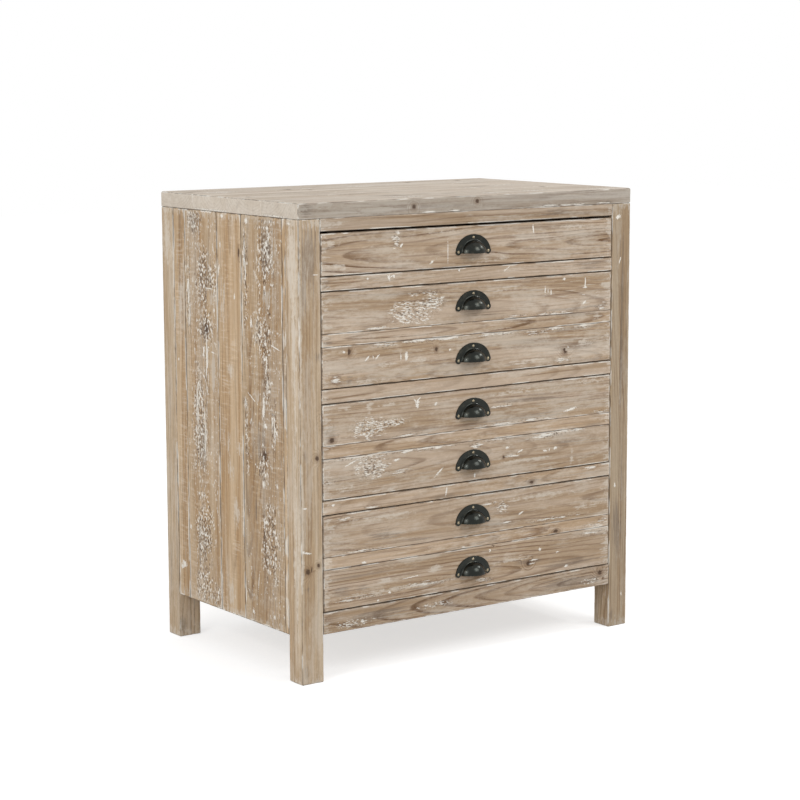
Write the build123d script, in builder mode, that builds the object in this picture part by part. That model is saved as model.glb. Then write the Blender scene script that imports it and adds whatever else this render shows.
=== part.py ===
from build123d import *
import os

# A chest of four inset drawers in reclaimed pine, on four square legs, with cup pulls.
# Millimetres. X runs to the right, Y to the back, Z up. The origin lies on the floor, at the
# middle of the outer box, which reaches from the cup pulls at the front to the top's rear edge.

# ---- top
top_width = 800.0
top_depth = 500.0
cabinet_height = 900.0
top_thickness = 30.0
top_overhang = 1.0
top_corner_radius = 5.0
top_edge_radius = 4.0
top_under_radius = 1.5
top_board_width = 125.0
seam_ease = 0.8

# ---- posts
post_width = 48.0
post_depth = 45.0
post_edge_radius = 1.5
foot_chamfer = 1.5

# ---- front rails and the openings between them, from the top down
top_rail_height = 24.0
mid_rail_height = 26.0
bottom_rail_height = 41.0
opening_heights = [84.0, 183.0, 183.0, 186.0]
rail_edge_ease = 0.8
tenon_length = 12.0
tenon_thickness = 14.0
tenon_shoulder = 5.0
joint_play = 0.2

# ---- side boards, from the front post to the rear post; the last one takes what is left
side_thickness = 18.0
side_recess = 1.0
side_drop = 2.0
side_board_widths = [12.0, 143.0, 88.0, 123.0]
tongue_thickness = 8.0
tongue_length = 8.0

# ---- back
back_thickness = 12.0
back_rebate = 10.0
back_board_count = 5
rear_rail_height = 60.0
rear_rail_thickness = 22.0

# ---- runners and kickers
ledge_reach = 20.0
ledge_thickness = 22.0
guide_height = 25.0
stop_thickness = 7.0
stop_height = 12.0
stop_play = 0.5
kicker_thickness = 24.0

# ---- drawers
front_thickness = 20.0
front_side_gap = 2.0
front_bottom_gap = 2.0
front_top_gap = 2.0
top_drawer_gap = 4.0
front_ease = 1.2
batten_height = 24.0
front_lap = 8.0
box_thickness = 12.0
box_top_drop = 9.0
back_top_drop = 6.0
running_gap = 0.3
back_inset = 12.0
back_dado_depth = 4.0
panel_thickness = 6.0
panel_rise = 10.0
panel_groove_depth = 6.0

# ---- cup pulls and their screws
pull_width = 84.0
pull_height = 39.0
pull_lift = 3.0
flange_thickness = 2.0
flange_ease = 0.5
ear_radius = 6.2
hood_width = 59.0
hood_height = 25.5
hood_reach = 23.0
hood_wall = 1.6
hood_lift = 3.5
hood_foot_radius = 2.5
mouth_trim = 1.0
top_screw_drop = 6.0
screw_length = 14.0
screw_radius = 1.5
screw_hole_play = 0.1
screw_head_radius = 2.8
screw_head_height = 1.4

# ---- sizes that follow
case_width = top_width - 2 * top_overhang
case_depth = top_depth - 2 * top_overhang
case_front = (hood_reach + top_overhang - top_depth) / 2
case_back = case_front + case_depth
case_half = case_width / 2
post_top = cabinet_height - top_thickness
opening_half = case_half - post_width
front_post_back = case_front + post_depth
rear_post_front = case_back - post_depth
side_outer = case_half - side_recess
side_inner = side_outer - side_thickness
tongue_middle = side_outer - side_thickness / 2

opening_tops = []
opening_floors = []
level = post_top - top_rail_height
for opening_height in opening_heights:
    opening_tops.append(level)
    opening_floors.append(level - opening_height)
    level = level - opening_height - mid_rail_height
bottom_rail_low = opening_floors[-1] - bottom_rail_height
side_low = bottom_rail_low - side_drop

rail_levels = {"top_front_rail": (post_top - top_rail_height, post_top)}
for index, floor in enumerate(opening_floors[:-1]):
    rail_levels[f"middle_rail_{index + 1}"] = (floor - mid_rail_height, floor)
rail_levels["bottom_front_rail"] = (bottom_rail_low, opening_floors[-1])

rear_rail_back = case_back - back_thickness
rear_rail_front = rear_rail_back - rear_rail_thickness
rear_rail_levels = [(post_top - rear_rail_height, post_top), (side_low, side_low + rear_rail_height)]

drawer_back = rear_post_front - stop_thickness - stop_play
box_back_rear = drawer_back - back_inset
box_back_front = box_back_rear - box_thickness
front_half = opening_half - front_side_gap
front_rear = case_front + front_thickness
box_front = case_front + front_lap
box_inner = front_half - box_thickness

pull_screw_spots = [
    (-(pull_width / 2 - ear_radius), ear_radius),
    (pull_width / 2 - ear_radius, ear_radius),
    (0, pull_height - top_screw_drop),
]
pilot_radius = screw_radius + screw_hole_play
pilot_depth = screw_length + screw_hole_play

os.makedirs("parts", exist_ok=True)


def save(piece, node):
    """Label a finished piece and write it."""
    piece.part.label = node
    export_step(piece.part, f"parts/{node}.step")


def block(x_span, y_span, z_span, mode=Mode.ADD):
    """A squared board between two planes on each axis, in the open builder."""
    spans = [sorted(span) for span in (x_span, y_span, z_span)]
    with Locations(tuple((low + high) / 2 for low, high in spans)):
        return Box(*(high - low for low, high in spans), mode=mode)


def tenon_block(x_span, y_middle, levels, play, mode):
    """A rail's tenon, or with play its mortise, centred on the rail's thickness."""
    low, high = levels
    block(
        x_span,
        (y_middle - tenon_thickness / 2 - play, y_middle + tenon_thickness / 2 + play),
        (low + tenon_shoulder - play, high - tenon_shoulder + play),
        mode,
    )


# ---------------------------------------------------------------- top
# Boards glued edge to edge, with a small V where two meet.
with BuildPart() as top_boards:
    with BuildSketch(Plane.XY.offset(post_top)):
        with Locations((0, (case_front + case_back) / 2)):
            RectangleRounded(top_width, top_depth, top_corner_radius)
    extrude(amount=top_thickness)
    fillet(top_boards.faces().sort_by(Axis.Z)[-1].edges(), top_edge_radius)
    fillet(top_boards.faces().sort_by(Axis.Z)[0].edges(), top_under_radius)
    seam = case_front - top_overhang + top_board_width
    while seam < case_back - top_board_width / 2:
        with BuildSketch(Plane.YZ.offset(-top_width / 2)):
            with Locations((seam, cabinet_height)):
                Rectangle(seam_ease * 2**0.5, seam_ease * 2**0.5, rotation=45)
        extrude(amount=top_width, mode=Mode.SUBTRACT)
        split(bisect_by=Plane.XZ.offset(-seam), keep=Keep.BOTH)
        seam += top_board_width
save(top_boards, "top_boards")


# ---------------------------------------------------------------- posts
def build_post(side, is_rear):
    """A post that runs down into its leg, with the groove and mortises of its own place."""
    y_front = rear_post_front if is_rear else case_front
    y_rear = y_front + post_depth
    x_outer = side * case_half
    x_inner = side * opening_half
    with BuildPart() as post:
        with BuildSketch(Plane.XY):
            with Locations(((x_outer + x_inner) / 2, (y_front + y_rear) / 2)):
                RectangleRounded(post_width, post_depth, post_edge_radius)
        extrude(amount=post_top)
        chamfer(post.faces().sort_by(Axis.Z)[0].edges(), foot_chamfer)
        # the groove that takes the side boards' tongue
        groove_end = y_front + tongue_length + joint_play if is_rear else y_rear - tongue_length - joint_play
        groove_mouth = y_front if is_rear else y_rear
        groove_half = tongue_thickness / 2 + joint_play
        middle = side * tongue_middle
        block((middle - groove_half, middle + groove_half), (groove_end, groove_mouth),
              (side_low, post_top), Mode.SUBTRACT)
        # mortises for the rails, and behind them the rebate for the back boards
        mortise = (x_inner, x_inner + side * (tenon_length + joint_play))
        if is_rear:
            for levels in rear_rail_levels:
                tenon_block(mortise, (rear_rail_front + rear_rail_back) / 2, levels, joint_play, Mode.SUBTRACT)
            block((x_inner, x_inner + side * back_rebate), (rear_rail_back, case_back),
                  (side_low, post_top), Mode.SUBTRACT)
        else:
            for levels in rail_levels.values():
                tenon_block(mortise, (y_front + y_rear) / 2, levels, joint_play, Mode.SUBTRACT)
    return post


for side, side_name in ((-1, "left"), (1, "right")):
    save(build_post(side, False), f"front_{side_name}_post")
    save(build_post(side, True), f"rear_{side_name}_post")


# ---------------------------------------------------------------- rails
for rail_name, (low, high) in rail_levels.items():
    with BuildPart() as rail:
        block((-opening_half, opening_half), (case_front, front_post_back), (low, high))
        chamfer(rail.faces().sort_by(Axis.Y)[0].edges().filter_by(Axis.X), rail_edge_ease)
        for side in (-1, 1):
            tenon = (side * opening_half, side * (opening_half + tenon_length))
            tenon_block(tenon, (case_front + front_post_back) / 2, (low, high), 0, Mode.ADD)
    save(rail, rail_name)

with BuildPart() as rear_rails:
    for low, high in rear_rail_levels:
        block((-opening_half, opening_half), (rear_rail_front, rear_rail_back), (low, high))
        for side in (-1, 1):
            tenon = (side * opening_half, side * (opening_half + tenon_length))
            tenon_block(tenon, (rear_rail_front + rear_rail_back) / 2, (low, high), 0, Mode.ADD)
save(rear_rails, "rear_rails")


# ---------------------------------------------------------------- sides and back
def build_side_boards(side):
    """Upright boards between two posts, tongued into the posts' grooves at both ends."""
    middle = side * tongue_middle
    tongue = (middle - tongue_thickness / 2, middle + tongue_thickness / 2)
    seams = []
    seam = front_post_back
    for width in side_board_widths:
        seam += width
        seams.append(seam)
    with BuildPart() as boards:
        block((side * side_inner, side * side_outer), (front_post_back, rear_post_front),
              (side_low, post_top))
        block(tongue, (front_post_back - tongue_length, front_post_back), (side_low, post_top))
        block(tongue, (rear_post_front, rear_post_front + tongue_length), (side_low, post_top))
        for seam in seams:
            with BuildSketch(Plane.XY.offset(side_low)):
                with Locations((side * side_outer, seam)):
                    Rectangle(seam_ease * 2**0.5, seam_ease * 2**0.5, rotation=45)
            extrude(amount=post_top - side_low, mode=Mode.SUBTRACT)
        for seam in seams:
            split(bisect_by=Plane.XZ.offset(-seam), keep=Keep.BOTH)
    return boards


save(build_side_boards(-1), "left_side_boards")
save(build_side_boards(1), "right_side_boards")

# The back boards stand side by side in the rear posts' rebates.
back_half = opening_half + back_rebate
back_board_width = 2 * back_half / back_board_count
with BuildPart() as back_boards:
    block((-back_half, back_half), (rear_rail_back, case_back), (side_low, post_top))
    for number in range(1, back_board_count):
        seam = -back_half + number * back_board_width
        with BuildSketch(Plane.XY.offset(side_low)):
            with Locations((seam, case_back)):
                Rectangle(seam_ease * 2**0.5, seam_ease * 2**0.5, rotation=45)
        extrude(amount=post_top - side_low, mode=Mode.SUBTRACT)
    for number in range(1, back_board_count):
        split(bisect_by=Plane.YZ.offset(-back_half + number * back_board_width), keep=Keep.BOTH)
save(back_boards, "back_boards")


# ---------------------------------------------------------------- runners and kickers
def build_runner(side, floor):
    """A ledge for the drawer side, a guide strip on it and a stop block at its rear end."""
    run = (front_post_back, rear_post_front)
    with BuildPart() as ledge:
        block((side * side_inner, side * (opening_half - ledge_reach)), run, (floor - ledge_thickness, floor))
    with BuildPart() as guide:
        block((side * side_inner, side * opening_half), run, (floor, floor + guide_height))
    with BuildPart() as stop:
        block((side * opening_half, side * (opening_half - ledge_reach)),
              (rear_post_front - stop_thickness, rear_post_front), (floor, floor + stop_height))
    return [ledge.part, guide.part, stop.part]


def save_group(pieces, node):
    """Write separate solids under one name."""
    group = Compound(label=node, children=pieces)
    export_step(group, f"parts/{node}.step")


for number, floor in enumerate(opening_floors, start=1):
    for side, side_name in ((-1, "left"), (1, "right")):
        save_group(build_runner(side, floor), f"drawer_{number}_{side_name}_runner")

with BuildPart() as kickers:
    for side in (-1, 1):
        block((side * side_inner, side * (opening_half - ledge_reach)),
              (front_post_back, rear_post_front), (post_top - kicker_thickness, post_top))
save(kickers, "kickers")


# ---------------------------------------------------------------- drawer fronts
def build_front_board(low, high, box_low, box_high, screw_spots):
    """One board of a drawer front: eased face, rebated ends, panel groove and screw holes."""
    with BuildPart() as board:
        block((-front_half, front_half), (case_front, front_rear), (low, high))
        chamfer(board.faces().sort_by(Axis.Y)[0].edges(), front_ease)
        for side in (-1, 1):
            if high > box_low and low < box_high:
                block((side * box_inner, side * front_half), (box_front, front_rear),
                      (low, min(high, box_high)), Mode.SUBTRACT)
        panel_low = box_low + panel_rise
        if low < panel_low < high:
            block((-box_inner, box_inner), (front_rear - panel_groove_depth, front_rear),
                  (panel_low - joint_play, panel_low + panel_thickness + joint_play), Mode.SUBTRACT)
        if screw_spots:
            with BuildSketch(Plane.XZ.offset(-case_front)):
                with Locations(*screw_spots):
                    Circle(pilot_radius)
            extrude(amount=-pilot_depth, mode=Mode.SUBTRACT)
    return board


# ---------------------------------------------------------------- drawer boxes
def build_box_side(side, box_low, box_high):
    """A drawer side, grooved for the bottom panel and housed for the drawer back."""
    x_outer = side * front_half
    x_inner = side * box_inner
    panel_low = box_low + panel_rise
    with BuildPart() as box_side:
        block((x_inner, x_outer), (box_front, drawer_back), (box_low, box_high))
        block((x_inner, x_inner + side * panel_groove_depth), (box_front, drawer_back),
              (panel_low - joint_play, panel_low + panel_thickness + joint_play), Mode.SUBTRACT)
        block((x_inner, x_inner + side * back_dado_depth),
              (box_back_front - joint_play, box_back_rear + joint_play),
              (panel_low + panel_thickness, box_high), Mode.SUBTRACT)
    return box_side


def build_box_back(box_low, box_high):
    """A drawer back that stands on the bottom panel, let into both sides."""
    back_reach = box_inner + back_dado_depth - joint_play
    with BuildPart() as box_back:
        block((-back_reach, back_reach), (box_back_front, box_back_rear),
              (box_low + panel_rise + panel_thickness, box_high - back_top_drop))
    return box_back


def build_bottom(box_low):
    """A bottom panel, held in the grooves of the sides and the front."""
    panel_half = box_inner + panel_groove_depth - joint_play
    panel_front = front_rear - panel_groove_depth + joint_play
    with BuildPart() as bottom:
        with BuildSketch(Plane.XY.offset(box_low + panel_rise)):
            with Locations((0, (panel_front + box_back_rear) / 2)):
                Rectangle(2 * panel_half, box_back_rear - panel_front)
        extrude(amount=panel_thickness)
    return bottom


# ---------------------------------------------------------------- cup pulls
def build_cup_pull(pull_low):
    """A dished pull: a D-shaped flange with two ears, and a hollow hood that opens downwards."""
    face = Plane(origin=(0, case_front, pull_low), x_dir=(1, 0, 0), z_dir=(0, -1, 0))
    # the hood is turned about a line a little below its lower edge and behind the front's face
    turn_radius = (hood_reach + hood_height**2 / hood_reach) / 2
    hood_sink = turn_radius - hood_reach
    turn_line = Axis((0, case_front + hood_sink, pull_low + hood_lift - mouth_trim), (1, 0, 0))
    turn_plane = Plane(origin=turn_line.position, x_dir=(1, 0, 0), z_dir=(0, -1, 0))
    flange_front = case_front - flange_thickness
    with BuildPart() as pull:
        # flange and hood as if whole, so that the hollow between them runs all the way round
        with BuildSketch(face):
            with Locations((0, hood_lift)):
                Ellipse(pull_width / 2, pull_height - hood_lift)
        extrude(amount=flange_thickness)
        chamfer(pull.faces().sort_by(Axis.Y)[0].edges(), flange_ease)
        with BuildSketch(turn_plane):
            Ellipse(hood_width / 2, turn_radius)
            with Locations((0, -turn_radius)):
                Rectangle(hood_width, 2 * turn_radius, mode=Mode.SUBTRACT)
        revolve(axis=turn_line, revolution_arc=180)
        foot = pull.edges().filter_by_position(Axis.Y, flange_front - 0.01, flange_front + 0.01)
        fillet([edge for edge in foot if edge.bounding_box().size.X < hood_width + 0.5
                and edge.bounding_box().size.Z > hood_height / 2], hood_foot_radius)
        # the mouth, the ears and the hollow
        split(bisect_by=Plane.XY.offset(pull_low + hood_lift), keep=Keep.TOP)
        with BuildSketch(face):
            with Locations(*pull_screw_spots[:2]):
                Circle(ear_radius)
        extrude(amount=flange_thickness)
        with BuildSketch(turn_plane):
            Ellipse(hood_width / 2 - hood_wall, turn_radius - hood_wall)
            with Locations((0, -turn_radius)):
                Rectangle(hood_width, 2 * turn_radius, mode=Mode.SUBTRACT)
        revolve(axis=turn_line, revolution_arc=120, mode=Mode.SUBTRACT)
        split(bisect_by=face, keep=Keep.TOP)
        with BuildSketch(face):
            with Locations(*pull_screw_spots):
                Circle(pilot_radius)
        extrude(amount=flange_thickness, mode=Mode.SUBTRACT)
    return pull


# A domed screw, made upright with its head's underside at the origin.
screw_tip = -flange_thickness - screw_length
head_sphere_radius = (screw_head_radius**2 + screw_head_height**2) / (2 * screw_head_height)
with BuildPart() as pull_screw:
    with BuildSketch(Plane.XZ):
        with BuildLine():
            Polyline(
                (0, screw_head_height),
                (0, screw_tip),
                (screw_radius, screw_tip + screw_radius),
                (screw_radius, 0),
                (screw_head_radius, 0),
            )
            RadiusArc((screw_head_radius, 0), (0, screw_head_height), -head_sphere_radius)
        make_face()
    revolve(axis=Axis.Z)


def pull_screw_places(pull_low):
    """Where the screws of one pull sit, with their heads on the flange."""
    return [
        Plane(origin=(x, case_front - flange_thickness, pull_low + z), x_dir=(1, 0, 0),
              z_dir=(0, -1, 0)).location
        for x, z in pull_screw_spots
    ]


# ---------------------------------------------------------------- the four drawers
pull_number = 0
for number, (floor, top) in enumerate(zip(opening_floors, opening_tops), start=1):
    is_shallow = number == 1
    front_low = floor + front_bottom_gap
    front_high = top - (top_drawer_gap if is_shallow else front_top_gap)
    box_low = floor + running_gap
    box_high = front_high - box_top_drop

    if is_shallow:
        board_levels = {"front": (front_low, front_high)}
    else:
        batten_low = (front_low + front_high - batten_height) / 2
        batten_high = batten_low + batten_height
        board_levels = {
            "upper_front": (batten_high, front_high),
            "front_batten": (batten_low, batten_high),
            "lower_front": (front_low, batten_low),
        }

    screw_places = []
    for board_name, (low, high) in board_levels.items():
        screw_spots = []
        if board_name != "front_batten":
            pull_low = (low + high) / 2 + pull_lift - pull_height / 2
            screw_spots = [(x, pull_low + z) for x, z in pull_screw_spots]
            screw_places += pull_screw_places(pull_low)
            pull_number += 1
            save(build_cup_pull(pull_low), f"cup_pull_{pull_number}")
        save(build_front_board(low, high, box_low, box_high, screw_spots), f"drawer_{number}_{board_name}")

    with BuildPart() as pull_screws:
        with Locations(*screw_places):
            add(pull_screw.part)
    save(pull_screws, f"drawer_{number}_pull_screws")

    save(build_box_side(-1, box_low, box_high), f"drawer_{number}_left_side")
    save(build_box_side(1, box_low, box_high), f"drawer_{number}_right_side")
    save(build_box_back(box_low, box_high), f"drawer_{number}_back")
    save(build_bottom(box_low), f"drawer_{number}_bottom")
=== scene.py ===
"""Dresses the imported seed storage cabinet: worn boards in limed reclaimed pine, dark cup pulls,
a pale studio floor and the photograph's camera. Metres; X right, -Y out of the drawers, Z up."""
import math

import bpy
import numpy as np
from mathutils import Matrix, Vector


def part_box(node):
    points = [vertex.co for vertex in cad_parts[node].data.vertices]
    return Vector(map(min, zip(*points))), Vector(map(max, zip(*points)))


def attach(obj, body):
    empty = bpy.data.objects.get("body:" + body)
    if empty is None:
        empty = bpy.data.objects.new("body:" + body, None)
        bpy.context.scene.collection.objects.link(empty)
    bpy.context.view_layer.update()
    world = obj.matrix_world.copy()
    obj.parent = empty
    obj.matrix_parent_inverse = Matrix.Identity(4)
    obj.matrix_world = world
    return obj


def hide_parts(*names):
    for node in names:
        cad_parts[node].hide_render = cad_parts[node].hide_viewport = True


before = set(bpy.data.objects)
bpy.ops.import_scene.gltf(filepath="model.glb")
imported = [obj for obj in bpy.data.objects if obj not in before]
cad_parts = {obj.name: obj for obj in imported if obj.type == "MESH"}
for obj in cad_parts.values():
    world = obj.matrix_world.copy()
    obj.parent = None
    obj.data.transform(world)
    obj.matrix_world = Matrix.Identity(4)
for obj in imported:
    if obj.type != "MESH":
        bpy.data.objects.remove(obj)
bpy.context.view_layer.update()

MM = 0.001
X, Y, Z = 0, 1, 2
FRONT, BACK, TOP, LEFT, RIGHT = (Y, -1), (Y, 1), (Z, 1), (X, -1), (X, 1)     # axis and side

# ---------- sizes that the pieces share
FRONT_LAP = 0.008           # thickness of a drawer front that laps over the box sides
BOX_SIDE = 0.012            # thickness of a drawer box side
SIDE_BOARDS = (0.012, 0.143, 0.088, 0.123)   # widths from the front post; the last takes the rest
SIDE_TONGUE = 0.008         # hidden in the posts' grooves
TOP_BOARD = 0.125           # width of each board of the top
BACK_BOARD_COUNT = 5
BACK_REBATE = 0.010         # what the rear posts hide of the back, each side
RAIL_TENON = 0.012          # hidden in the posts' mortises

# ---------- colours


def srgb(red, green, blue):
    """A colour as it looks on screen, 0 to 255, as linear red, green, blue and alpha."""
    channels = []
    for value in (red, green, blue):
        value /= 255
        channels.append(value / 12.92 if value <= 0.04045 else ((value + 0.055) / 1.055) ** 2.4)
    return (*channels, 1.0)


LIME = srgb(211, 201, 187)       # thin chalky wash
PAINT = srgb(240, 236, 227)      # what is left of the old white paint
KNOT = srgb(74, 55, 42)
SEAM = srgb(50, 35, 22)
WEATHER_GREY = srgb(128, 114, 101)
WHITE = (1.0, 1.0, 1.0, 1.0)

# ---------- rings, marks and plain wood
RING_PITCH = 6.5                 # mm between growth rings
RING_PROFILE = ((0.0, 0.0), (0.58, 0.06), (0.84, 1.0), (0.93, 0.9), (1.0, 0.0))   # place, darkness
COMB_SLANT = 0.5                 # how far comb strokes lean along the grain
PLAIN_LOOK = (3.0, 1.0, -0.3)    # seed, tone and wash of pieces without looks of their own
PLAIN_PITH = (40.0, 35.0, 0.03)
FAR = 50.0                       # as good as no spot, edge or end, in mm or half sizes
SPOT_KINDS = {"chip": 1.0, "knot": 2.0}


# ---------- node trees
class Tree:
    """The nodes of a material or world, made by short calls that return output sockets."""

    def __init__(self, owner):
        owner.use_nodes = True
        self.owner = owner
        self.nodes = owner.node_tree.nodes
        self.links = owner.node_tree.links
        self.nodes.clear()

    def node(self, kind, inputs=(), **settings):
        made = self.nodes.new("ShaderNode" + kind)
        for key, value in settings.items():
            setattr(made, key, value)
        for key, value in dict(inputs).items():
            if isinstance(value, bpy.types.NodeSocket):
                self.links.new(value, made.inputs[key])
            else:
                made.inputs[key].default_value = value
        return made

    def math(self, operation, a, b=0.0, c=0.0, clamp=False):
        made = self.node("Math", {0: a, 1: b, 2: c}, operation=operation, use_clamp=clamp)
        return made.outputs[0]

    def add(self, a, b, clamp=False):
        return self.math("ADD", a, b, clamp=clamp)

    def mul(self, a, b, clamp=False):
        return self.math("MULTIPLY", a, b, clamp=clamp)

    def mul_add(self, a, b, c):
        return self.math("MULTIPLY_ADD", a, b, c)

    def max(self, a, b):
        return self.math("MAXIMUM", a, b)

    def vector(self, operation, a, b=(0, 0, 0)):
        made = self.node("VectorMath", {0: a, 1: b}, operation=operation)
        return made.outputs["Value" if operation == "LENGTH" else "Vector"]

    def split(self, vector):
        made = self.node("SeparateXYZ", {"Vector": vector})
        return made.outputs["X"], made.outputs["Y"], made.outputs["Z"]

    def join(self, x, y, z):
        return self.node("CombineXYZ", {"X": x, "Y": y, "Z": z}).outputs["Vector"]

    def attribute(self, name):
        """The three values that a board's points carry under a name."""
        return self.node("Attribute", attribute_name=name).outputs["Vector"]

    def object_place(self):
        """The place in mm on a piece, for pieces that keep their CAD form."""
        metres = self.node("TexCoord").outputs["Object"]
        return self.vector("MULTIPLY", metres, (1 / MM, 1 / MM, 1 / MM))

    def noise(self, place, stretch, seed=0.0, detail=2.0, rough=0.5):
        """Noise from 0 to 1 over a place in mm, with its pitch in mm on each axis."""
        inputs = {"Vector": self.vector("DIVIDE", place, stretch), "W": seed, "Scale": 1.0,
                  "Detail": detail, "Roughness": rough}
        return self.node("TexNoise", inputs, noise_dimensions="4D").outputs["Fac"]

    def step(self, value, low, high):
        """0 below low, 1 above high, smooth between."""
        inputs = {"Value": value, "From Min": low, "From Max": high, "To Min": 0.0, "To Max": 1.0}
        return self.node("MapRange", inputs, interpolation_type="SMOOTHSTEP").outputs["Result"]

    def fall(self, value, low, high):
        """1 below low, 0 above high, smooth between."""
        return self.math("SUBTRACT", 1.0, self.step(value, low, high))

    def scale(self, value, low, high):
        """A 0 to 1 value spread from low to high."""
        return self.mul_add(value, high - low, low)

    def mix(self, share, a, b, blend="MIX"):
        inputs = {"Factor": share, 6: a, 7: b}
        return self.node("Mix", inputs, data_type="RGBA", blend_type=blend).outputs[2]

    def tinted(self, colour, level):
        """A colour made darker or paler."""
        return self.mix(1.0, colour, self.join(level, level, level), "MULTIPLY")

    def ramp(self, value, stops):
        """A grey level that follows stops of a place from 0 to 1 and a level."""
        made = self.node("ValToRGB", {"Fac": value})
        ramp = made.color_ramp
        while len(ramp.elements) < len(stops):
            ramp.elements.new(0.5)
        for element, (at, level) in zip(ramp.elements, stops):
            element.position = at
            element.color = (level, level, level, 1)
        return made.outputs["Color"]

    def finish(self, surface):
        self.node("OutputMaterial", {"Surface": surface})
        return self.owner

    def surface(self, colour, roughness, height, bump_strength, bump_depth, gloss):
        """The finished material of a colour, roughness, relief and other shader inputs."""
        relief = {"Strength": bump_strength, "Distance": bump_depth, "Height": height}
        normal = self.node("Bump", relief).outputs["Normal"]
        inputs = {"Base Color": colour, "Roughness": roughness, "Normal": normal}
        return self.finish(self.node("BsdfPrincipled", {**inputs, **gloss}).outputs["BSDF"])


class Pine(Tree):
    """Reclaimed pine, part by part. Boards bring their grain coordinates, looks and marks.

    plain_axis is for pieces that bring none: the axis that their grain follows.
    """

    def __init__(self, name, plain_axis, coarse):
        super().__init__(bpy.data.materials.new(name))
        self.coarse = coarse
        if plain_axis is None:
            self.place = self.attribute("grain")
            # the tone carries the board's own tone and the painted light and shade of single faces
            self.seed, self.tone, self.wash_bias = self.split(self.attribute("look"))
            self.pith = self.split(self.attribute("pith"))
            self.comb_mask, self.smear_mask, self.film_mask = self.split(self.attribute("soft"))
            self.rough_mask, self.grey_mask, self.ring_gain = self.split(self.attribute("grime"))
            self.to_end, self.edge, _ = self.split(self.attribute("rim"))
            spot_u, spot_v, spot_kind = self.split(self.attribute("spot"))
        else:
            x, y, z = self.split(self.object_place())
            self.place = self.join(*((x, y, z), (y, x, z), (z, x, y))[plain_axis])
            self.seed, self.tone, self.wash_bias = PLAIN_LOOK
            self.pith = PLAIN_PITH
            self.comb_mask = self.smear_mask = self.film_mask = 0.0
            self.rough_mask = self.grey_mask = 0.0
            self.ring_gain = 1.0
            self.to_end = self.edge = FAR
            spot_u, spot_v, spot_kind = FAR, FAR, 0.0

        self.spot_distance = self.vector("LENGTH", self.join(spot_u, spot_v, 0.0))
        knot, chip = SPOT_KINDS["knot"], SPOT_KINDS["chip"]
        self.is_knot = self.step(spot_kind, knot - 0.05, knot - 0.01)
        self.is_chip = self.mul(self.step(spot_kind, chip - 0.05, chip - 0.01),
                                self.fall(spot_kind, chip + 0.01, chip + 0.05))
        no_knot = self.fall(spot_kind, knot - 0.05, knot - 0.01)
        self.knot_distance = self.add(self.spot_distance, self.mul(no_knot, FAR))

        self.late_wood = self.annual_rings()
        self.fibre = self.grained(75, 1.5, 3.0, 0.6)
        self.thin = self.grained(140, 3.4, 4.0, 0.65)
        self.middling = self.grained(300, 9, 3.0, 0.55)
        self.wide = self.grained(900, 30)
        self.cloud = self.grained(180, 60)
        self.specks = self.grained(6.5, 2.6, 3.0, 0.7)
        self.mottle = self.grained(16, 7, 3.0, 0.7)
        self.saw = self.noise(self.place, (4.6, 34, 34), self.seed, 2.0, 0.6)
        self.saw_where = self.step(self.cloud, 0.40, 0.56)

    def grained(self, along_pitch, across_pitch, detail=2.0, rough=0.5):
        """Noise stretched along the grain, with its two pitches in mm."""
        along, across = along_pitch * self.coarse, across_pitch * self.coarse
        return self.noise(self.place, (along, across, across), self.seed, detail, rough)

    def ragged(self, mask, noise, swing, low, high, least=(0.02, 0.2), within=None):
        """A soft mask with its border broken up by a noise, and nothing well outside it."""
        broken = self.step(self.add(mask, self.scale(noise, -swing, swing)), low, high)
        return self.mul(broken, self.step(mask if within is None else within, *least))

    def annual_rings(self):
        """Thin dark late-wood lines around a pith that lies under the face at a slant."""
        along, across, below = self.split(self.place)
        pith_across, pith_below, pith_tilt = self.pith
        off_side = self.math("SUBTRACT", across, pith_across)
        off_below = self.add(self.mul_add(along, pith_tilt, pith_below), below)
        radius = self.vector("LENGTH", self.join(off_side, off_below, 0.0))
        drift = self.noise(self.place, (420, 90, 90), self.seed)
        wobble = self.noise(self.place, (120, 20, 20), self.seed, 3.0)
        radius = self.add(radius, self.scale(drift, -12, 12))
        radius = self.add(radius, self.scale(wobble, -2.2, 2.2))
        near_knot = self.fall(self.knot_distance, 0.6, 4.0)
        radius = self.mul_add(near_knot, 15.0, radius)
        rings = self.math("DIVIDE", radius, RING_PITCH)
        line = self.ramp(self.math("FRACT", rings), RING_PROFILE)
        number = self.add(self.math("FLOOR", rings), self.seed)
        strength = self.node("TexWhiteNoise", {"W": number}, noise_dimensions="1D").outputs["Value"]
        patchy = self.step(self.noise(self.place, (260, 34, 34), self.seed), 0.34, 0.60)
        line = self.mul(line, self.scale(strength, 0.25, 1.0))
        return self.mul(line, self.scale(patchy, 0.4, 1.0))

    def bare_wood(self, pale, tan, brown, rings, saw_marks):
        """Bands of pale and tan wood, ring lines, brown and grey streaks, and saw marks."""
        bands = self.add(self.mul(self.wide, 0.42), self.mul(self.middling, 0.36))
        bands = self.mul_add(self.thin, 0.22, bands)
        colour = self.mix(self.step(bands, 0.43, 0.57), pale, tan)
        ring_share = self.mul(self.mul(self.late_wood, self.ring_gain), rings, clamp=True)
        colour = self.mix(ring_share, colour, brown)
        thin_line = self.step(self.grained(210, 2.4, 4.0, 0.7), 0.52, 0.66)
        thin_line = self.mul(thin_line, self.step(self.cloud, 0.36, 0.58))
        colour = self.mix(self.mul(thin_line, 0.60), colour, brown)
        brown_streak = self.step(self.grained(240, 5.2, 3.0), 0.56, 0.68)
        colour = self.mix(self.mul(brown_streak, 0.42), colour, brown)
        grey_streak = self.mul(self.step(self.grained(340, 13, 3.0), 0.60, 0.74), 0.45)
        grey_mark = self.mul(self.ragged(self.grey_mask, self.thin, 2.4, 0.3, 0.9), 0.6)
        colour = self.mix(self.max(grey_streak, grey_mark), colour, WEATHER_GREY)

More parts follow.
